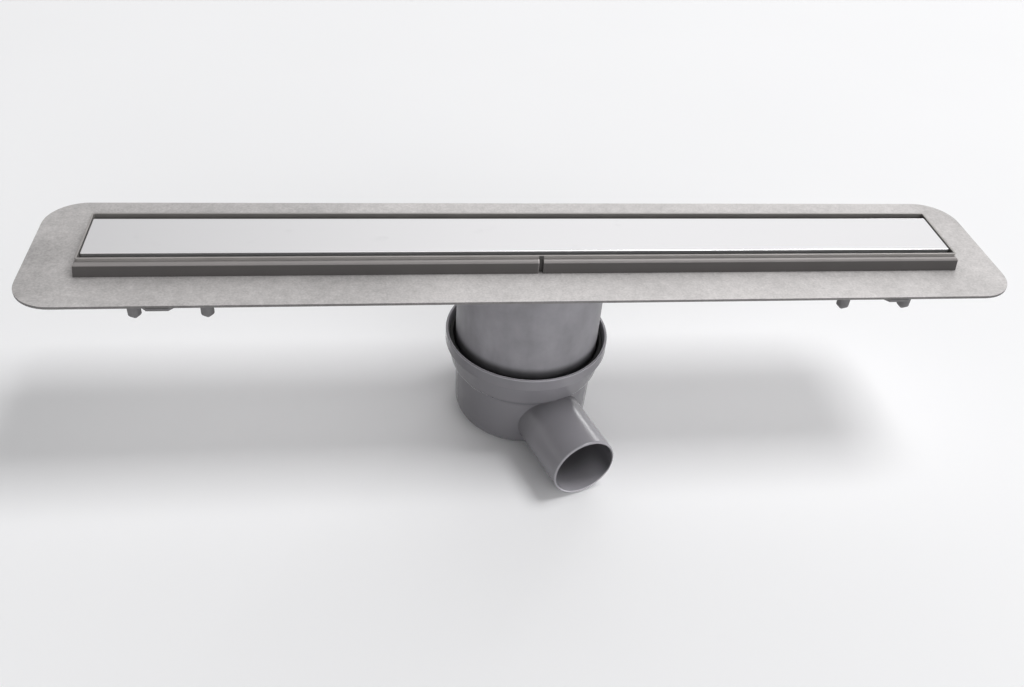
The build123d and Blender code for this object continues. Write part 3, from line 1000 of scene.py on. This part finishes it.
class DRAIN_OT_feet(bpy.types.Operator):
    """Weld studs for mounting feet and the anchor tabs beside them"""

    bl_idname = "drain.feet"
    bl_label = "Studs and Tabs"

    def execute(self, context):
        sizes = context.scene.drain_channel
        for side in ("left", "right"):
            low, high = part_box(f"foot_studs_{side}")
            radius = mount(f"feet_{side}")["dims"]["stud_r_mm"] / 1000
            shape = bmesh.new()
            for x in (low.x + radius, high.x - radius):
                for y in (low.y + radius, high.y - radius):
                    place = Matrix.Translation((x, y, (low.z + high.z) / 2))
                    bmesh.ops.create_cone(
                        shape,
                        cap_ends=True,
                        segments=STUD_STEPS,
                        radius1=radius,
                        radius2=radius,
                        depth=high.z - low.z,
                        matrix=place,
                    )
            ends = [edge for edge in sharp_edges(shape) if highest(edge) < low.z + TOUCH]
            round_edges(shape, ends, sizes.stud_end, steps=1)
            piece = make_object(f"weld_studs_{side}", shape)
            dress(piece, turned_steel(), "channel", [f"foot_studs_{side}"])
            for row, front in (("front", -1), ("rear", 1)):
                node = f"anchor_tab_{row}_{side}"
                low_tab, high_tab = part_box(node)
                shape = bmesh.new()
                middle = Matrix.Translation((low_tab + high_tab) / 2)
                place = middle @ Matrix.Diagonal((*span(node), 1))
                bmesh.ops.create_cube(shape, size=1, matrix=place)
                free = high_tab.y if front > 0 else low_tab.y
                corners = [
                    edge
                    for edge in shape.edges
                    if all(abs(vert.co.y - free) < TOUCH for vert in edge.verts)
                    and highest(edge) - lowest(edge) > NEAR
                ]
                round_edges(shape, corners, sizes.tab_corner, steps=1)
                round_edges(shape, sharp_edges(shape), sizes.edge, steps=2)
                piece = make_object(f"tab_{row}_{side}", shape)
                dress(piece, turned_steel(), "channel", [node])
        return {"FINISHED"}


# Light by direction: each pair is where a change starts and ends, on a direction's own axes.
LOW_RISE, LOW_FALL = (-0.05, 0.3), (0.25, 0.9)
LOW_FROM, LOW_DEPTH, LOW_EASE = (-0.8, 0.5), 0.15, 0.85
LOW_REAR, LOW_REAR_SHARE = (-0.2, 0.6), 0.65
HALL_RISE, HALL_DEPTH = (-0.4, 0.85), 0.4
HALL_ALONG, BESIDE = (-0.75, 0.35), (-0.8, -0.4)
LAMP_AIM = Vector((0, 0, 0.1))
LARGE_LAMP_SIZE, LARGE_LAMP_PLACE = (2.8, 2.6), (2.8, 0.4, 6.4)
STRIP_LAMP_SIZE, STRIP_LAMP_PLACE = (0.8, 1.5), (3.4, 5.0, 1.5)
FLOOR_HALF, FLOOR_DROP, FLOOR_FADE = 10, 0.0003, (1.6, 5.0)
SENSOR_WIDTH = 36


class DRAIN_OT_stage(bpy.types.Operator):
    """Floor, light and camera"""

    bl_idname = "drain.stage"
    bl_label = "Stage"

    def add_lamp(self, name, power, size, place):
        """A soft lamp that faces the drain."""
        lamp = bpy.data.lights.new(name, "AREA")
        lamp.shape = "RECTANGLE"
        lamp.size, lamp.size_y = size
        lamp.energy = power
        holder = bpy.data.objects.new(name, lamp)
        holder.location = place
        holder.rotation_euler = (LAMP_AIM - holder.location).to_track_quat("-Z", "Y").to_euler()
        bpy.context.scene.collection.objects.link(holder)

    def add_floor(self):
        """A pale floor that turns to plain white far off, for the camera alone."""
        shape = bmesh.new()
        place = Matrix.Translation((0, 0, CAD_LOW.z - FLOOR_DROP))
        bmesh.ops.create_grid(shape, x_segments=1, y_segments=1, size=FLOOR_HALF, matrix=place)
        floor = make_object("floor", shape)
        material, tree = new_finish("studio_floor")
        spot = tree.place()
        dust = tree.noise(spot, scale=3)
        away = tree.node("ShaderNodeVectorMath", {"operation": "LENGTH"}, {0: spot}, output="Value")
        camera_ray = tree.node("ShaderNodeLightPath", output="Is Camera Ray")
        tree.surface(
            tree.ramp(away, *FLOOR_FADE) * camera_ray,
            Base_Color=tree.shade(0.985 + dust * 0.03, tint_of("floor")),
            Roughness=0.9,
            Specular_IOR_Level=0.1,
        )
        floor.data.materials.append(material)

    def add_sky(self, scene):
        """White to the camera, a bright hall to reflections and a low light to all the rest."""
        world = bpy.data.worlds.new("studio")
        scene.world = world
        tree = Finish(world)
        spot = tree.node("ShaderNodeTexCoord", output="Generated")
        aside, depth, height = (tree.part(spot, axis) for axis in range(3))
        rising = tree.ramp(height, *LOW_RISE, 0.1, 1.0) * (1 - tree.ramp(height, *LOW_FALL))
        sideways = tree.ramp(aside + depth * LOW_DEPTH, *LOW_FROM, 0.1, 1.0)
        sideways = sideways * (1 - aside * aside * LOW_EASE)
        nearer = tree.ramp(depth, *LOW_REAR, 1.0, LOW_REAR_SHARE)
        low_light = rising * sideways * nearer * scene.drain_studio.sky
        hall = tree.ramp(height + depth * HALL_DEPTH, *HALL_RISE, 0.15, 1.0)
        hall = hall * tree.ramp(aside, *HALL_ALONG, 0.48, 0.94)
        beside = tree.ramp(aside.math("MINIMUM", aside, depth), *BESIDE, 0.85, 0.0)
        hall = hall.math("MAXIMUM", hall, beside)
        camera_ray = tree.node("ShaderNodeLightPath", output="Is Camera Ray")
        glossy_ray = tree.node("ShaderNodeLightPath", output="Is Glossy Ray")
        clear_ray = tree.node("ShaderNodeLightPath", output="Is Transmission Ray")
        seen = camera_ray.math("MAXIMUM", camera_ray, clear_ray)
        unseen = glossy_ray * hall + (1 - glossy_ray) * low_light
        strength = seen + (1 - seen) * unseen
        white = {"Color": (1, 1, 1, 1), "Strength": strength}
        light = tree.node("ShaderNodeBackground", inputs=white)
        tree.node("ShaderNodeOutputWorld", inputs={"Surface": light})

    def execute(self, context):
        scene = context.scene
        studio = scene.drain_studio
        scene.view_settings.view_transform = "Standard"
        self.add_floor()
        self.add_sky(scene)
        self.add_lamp("large_lamp", studio.key, LARGE_LAMP_SIZE, LARGE_LAMP_PLACE)
        self.add_lamp("strip_lamp", studio.strip, STRIP_LAMP_SIZE, STRIP_LAMP_PLACE)
        lens = bpy.data.cameras.new("camera")
        lens.sensor_width = SENSOR_WIDTH
        lens.lens = studio.camera_lens
        camera = bpy.data.objects.new("camera", lens)
        camera.location = studio.camera_place
        camera.rotation_euler = Euler(studio.camera_turn)
        scene.collection.objects.link(camera)
        scene.camera = camera
        return {"FINISHED"}


STEPS = (
    DRAIN_OT_bonding_flange,
    DRAIN_OT_trough,
    DRAIN_OT_edge_strips,
    DRAIN_OT_cover,
    DRAIN_OT_collar,
    DRAIN_OT_inner_pieces,
    DRAIN_OT_trap_pot,
    DRAIN_OT_feet,
    DRAIN_OT_stage,
)


class DRAIN_PT_panel(bpy.types.Panel):
    """Lists the steps in the sidebar"""

    bl_idname = "DRAIN_PT_panel"
    bl_label = "Linear Shower Drain"
    bl_space_type = "VIEW_3D"
    bl_region_type = "UI"
    bl_category = "Drain"

    def draw(self, context):
        for step in STEPS:
            self.layout.operator(step.bl_idname)


GROUPS = {
    "drain_channel": ChannelSizes,
    "drain_trap": TrapSizes,
    "drain_colours": FinishColours,
    "drain_studio": StudioSettings,
}


def register():
    for made in (*GROUPS.values(), *STEPS, DRAIN_PT_panel):
        bpy.utils.register_class(made)
    for name, group in GROUPS.items():
        setattr(bpy.types.Scene, name, bpy.props.PointerProperty(type=group))


def unregister():
    for name in GROUPS:
        delattr(bpy.types.Scene, name)
    for made in reversed((*GROUPS.values(), *STEPS, DRAIN_PT_panel)):
        bpy.utils.unregister_class(made)


def main():
    """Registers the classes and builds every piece."""
    register()
    bpy.ops.drain.bonding_flange()
    bpy.ops.drain.trough()
    bpy.ops.drain.edge_strips()
    bpy.ops.drain.cover()
    bpy.ops.drain.collar()
    bpy.ops.drain.inner_pieces()
    bpy.ops.drain.trap_pot()
    bpy.ops.drain.feet()
    bpy.ops.drain.stage()


if __name__ == "__main__":
    main()
